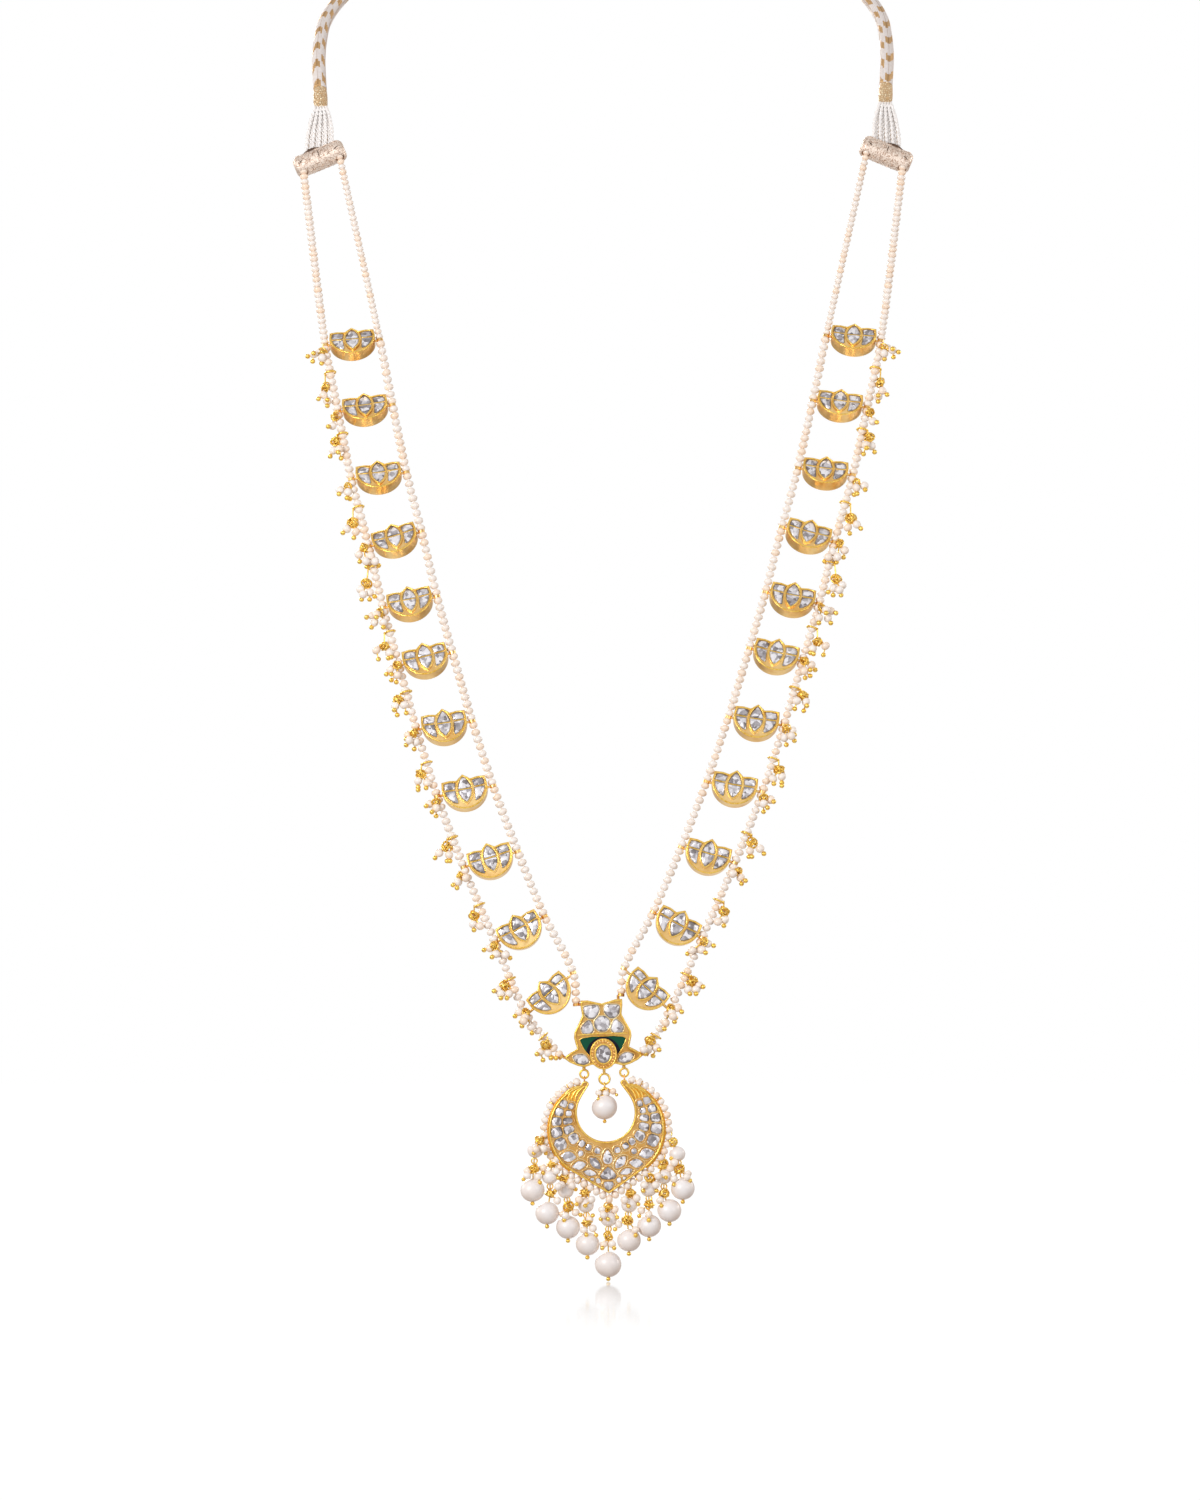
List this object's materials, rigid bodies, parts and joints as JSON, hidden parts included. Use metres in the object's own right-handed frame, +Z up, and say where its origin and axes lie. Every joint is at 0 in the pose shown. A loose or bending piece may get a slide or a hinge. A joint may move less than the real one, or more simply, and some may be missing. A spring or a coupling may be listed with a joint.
{
  "type": "long necklace",
  "caption": "Long bridal necklace: two seed pearl strings a side with lotus plaques between them, a woven neck cord and a hanging crescent pendant fringed with pearl drops.",
  "frame": {"origin": "underside of the neck cord at the middle of its back, where it lies on the nape", "axes": "+Z up as worn, -Y is the front of the necklace, +X is the side on the viewer's right"},
  "size_m": [0.2068, 0.2019, 0.4872],
  "materials": {
    "woven_silk": "satin",
    "gold_thread": "satin",
    "white_thread": "matte",
    "rose_gold": "satin",
    "gold": "polished",
    "foiled_crystal": "polished",
    "green_enamel": "gloss",
    "seed_pearl": "satin",
    "pearl": "satin"
  },
  "bodies": {
    "necklace": {"neck_cord": "woven_silk", "left_cord_collar": "gold_thread", "right_cord_collar": "gold_thread", "left_thread_fan": "white_thread", "right_thread_fan": "white_thread", "left_spacer_bar": "rose_gold", "right_spacer_bar": "rose_gold", "left_outer_string": "seed_pearl", "left_inner_string": "seed_pearl", "right_outer_string": "seed_pearl", "right_inner_string": "seed_pearl", "left_plaque_1": "gold", "left_plaque_2": "gold", "left_plaque_3": "gold", "left_plaque_4": "gold", "left_plaque_5": "gold", "left_plaque_6": "gold", "left_plaque_7": "gold", "left_plaque_8": "gold", "left_plaque_9": "gold", "left_plaque_10": "gold", "left_plaque_11": "gold", "right_plaque_1": "gold", "right_plaque_2": "gold", "right_plaque_3": "gold", "right_plaque_4": "gold", "right_plaque_5": "gold", "right_plaque_6": "gold", "right_plaque_7": "gold", "right_plaque_8": "gold", "right_plaque_9": "gold", "right_plaque_10": "gold", "right_plaque_11": "gold", "left_plaque_stones": "foiled_crystal", "right_plaque_stones": "foiled_crystal", "left_bunches": "seed_pearl", "right_bunches": "seed_pearl", "pendant_top": "gold", "pendant_top_stones": "foiled_crystal", "pendant_top_enamel": "green_enamel"},
    "crescent_body": {"crescent": "gold", "crescent_stones": "foiled_crystal", "rim_pearls": "seed_pearl", "upper_pearls": "pearl", "drop_pearl_1": "pearl", "drop_pearl_2": "pearl", "drop_pearl_3": "pearl", "drop_pearl_4": "pearl", "drop_pearl_5": "pearl", "drop_pearl_6": "pearl", "drop_pearl_7": "pearl", "drop_pearl_8": "pearl", "drop_pearl_9": "pearl", "drop_wires": "gold"},
    "centre_drop_body": {"centre_drop_wire": "gold", "centre_pearl": "pearl"}
  },
  "joints": [
    {"name": "crescent_swing", "type": "hinge", "parent": "necklace", "child": "crescent_body", "pos_m": [0.00045, -0.195, -0.4155], "axis": [0.9992, 0, 0.0401], "range_deg": [-40, 40]},
    {"name": "centre_drop_swing", "type": "hinge", "parent": "necklace", "child": "centre_drop_body", "pos_m": [0.00054, -0.195, -0.41775], "axis": [1, 0, 0], "range_deg": [-40, 40]}
  ]
}
